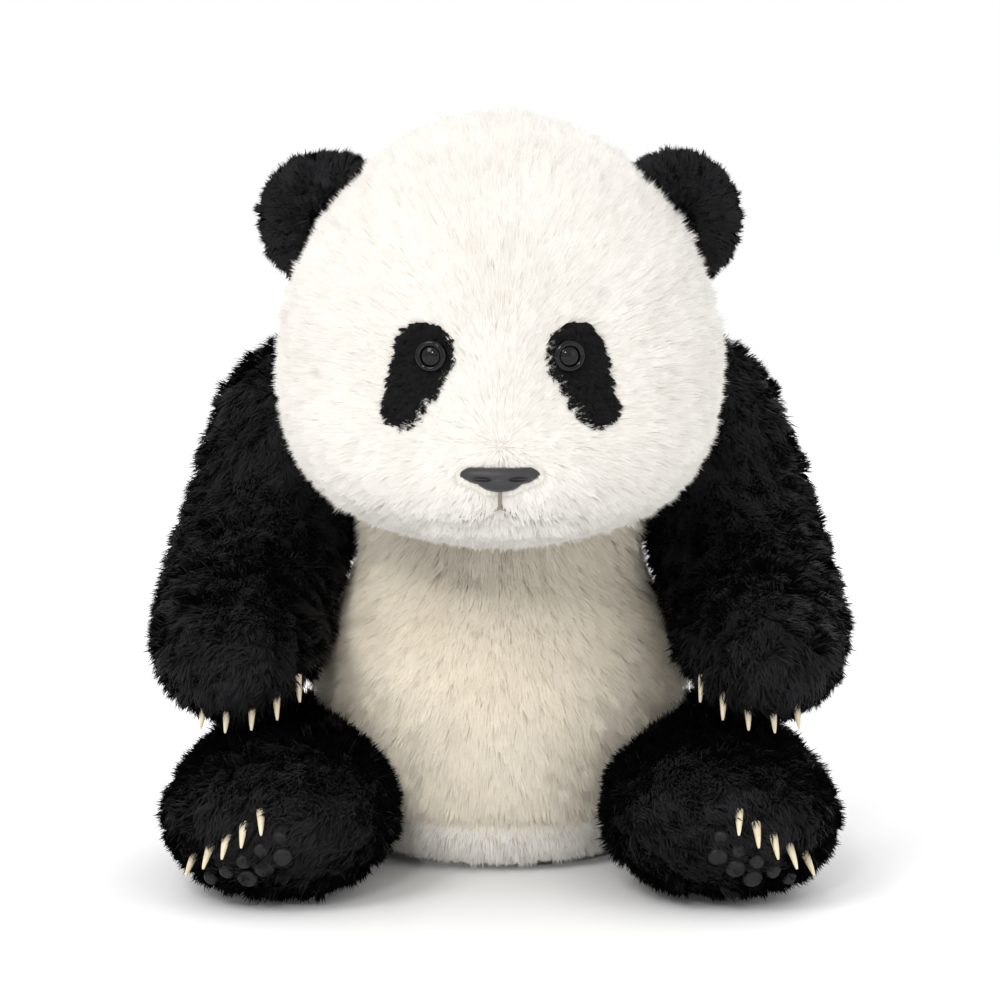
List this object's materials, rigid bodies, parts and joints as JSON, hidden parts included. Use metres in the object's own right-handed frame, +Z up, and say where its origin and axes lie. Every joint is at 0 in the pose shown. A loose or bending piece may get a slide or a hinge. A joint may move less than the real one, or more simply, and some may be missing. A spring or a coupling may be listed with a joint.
{
  "type": "plush panda",
  "caption": "Sitting plush panda with pile-fabric covers, glossy eyes, claws and pads, and disc joints that turn the head and swing the arms and legs.",
  "frame": {"origin": "on the flat seat face under the torso, in the middle plane and level with the fronts of the hips", "axes": "+Z up, -Y the way the panda faces, +X its own left side"},
  "size_m": [0.3186, 0.2601, 0.349],
  "materials": {
    "white_plush": "warm white knitted fur fabric, 10 mm pile",
    "cream_plush": "cream knitted fur fabric, 10 mm pile",
    "white_velboa": "white short-pile plush",
    "black_plush": "black knitted fur fabric, 7 mm pile",
    "black_short_pile": "black short-pile plush",
    "fibre_fill": "loose polyester fibre",
    "pellet_cotton": "cotton bag of plastic pellets",
    "white_pom": "moulded joint plastic",
    "lock_plastic": "moulded lock washer",
    "black_eye_plastic": "polished black",
    "nose_plastic": "matte dark grey",
    "thread": "twisted polyester thread",
    "claw_resin": "ivory, satin",
    "pad_rubber": "soft dark grey"
  },
  "bodies": {
    "torso": {"shoulder_yoke": "black_plush", "body_cover": "cream_plush", "seat_panel": "white_velboa", "torso_stuffing": "fibre_fill", "pellet_bag": "pellet_cotton", "neck_washer": "white_pom", "left_shoulder_washer": "white_pom", "left_hip_washer": "white_pom", "right_shoulder_washer": "white_pom", "right_hip_washer": "white_pom"},
    "head": {"head_cover": "white_plush", "head_stuffing": "fibre_fill", "nose": "nose_plastic", "nose_washer": "lock_plastic", "mouth_thread": "thread", "neck_disc": "white_pom", "neck_lock_ring": "lock_plastic", "left_ear": "black_plush", "left_eye_patch": "black_short_pile", "left_eye": "black_eye_plastic", "left_eye_washer": "lock_plastic", "right_ear": "black_plush", "right_eye_patch": "black_short_pile", "right_eye": "black_eye_plastic", "right_eye_washer": "lock_plastic"},
    "left_arm": {"left_arm_cover": "black_plush", "left_arm_stuffing": "fibre_fill", "left_arm_claws": "claw_resin", "left_shoulder_disc": "white_pom", "left_shoulder_lock_ring": "lock_plastic"},
    "left_leg": {"left_leg_cover": "black_plush", "left_leg_stuffing": "fibre_fill", "left_leg_claws": "claw_resin", "left_toe_pads": "pad_rubber", "left_sole_pad": "pad_rubber", "left_hip_disc": "white_pom", "left_hip_lock_ring": "lock_plastic"},
    "right_arm": {"right_arm_cover": "black_plush", "right_arm_stuffing": "fibre_fill", "right_arm_claws": "claw_resin", "right_shoulder_disc": "white_pom", "right_shoulder_lock_ring": "lock_plastic"},
    "right_leg": {"right_leg_cover": "black_plush", "right_leg_stuffing": "fibre_fill", "right_leg_claws": "claw_resin", "right_toe_pads": "pad_rubber", "right_sole_pad": "pad_rubber", "right_hip_disc": "white_pom", "right_hip_lock_ring": "lock_plastic"}
  },
  "joints": [
    {"name": "neck_turn", "type": "hinge", "parent": "torso", "child": "head", "pos_m": [0, -0.015, 0.19], "axis": [0, -0.6157, 0.788], "range_deg": [-25, 25]},
    {"name": "left_shoulder_swing", "type": "hinge", "parent": "torso", "child": "left_arm", "pos_m": [0.0632, 0.0273, 0.184], "axis": [-0.866, -0.5, 0], "range_deg": [0, 30]},
    {"name": "right_shoulder_swing", "type": "hinge", "parent": "torso", "child": "right_arm", "pos_m": [-0.0632, 0.0273, 0.184], "axis": [-0.866, 0.5, 0], "range_deg": [0, 30]},
    {"name": "left_hip_swing", "type": "hinge", "parent": "torso", "child": "left_leg", "pos_m": [0.064, 0.018, 0.036], "axis": [1, 0, 0], "range_deg": [0, 75]},
    {"name": "right_hip_swing", "type": "hinge", "parent": "torso", "child": "right_leg", "pos_m": [-0.064, 0.018, 0.036], "axis": [1, 0, 0], "range_deg": [0, 75]}
  ]
}
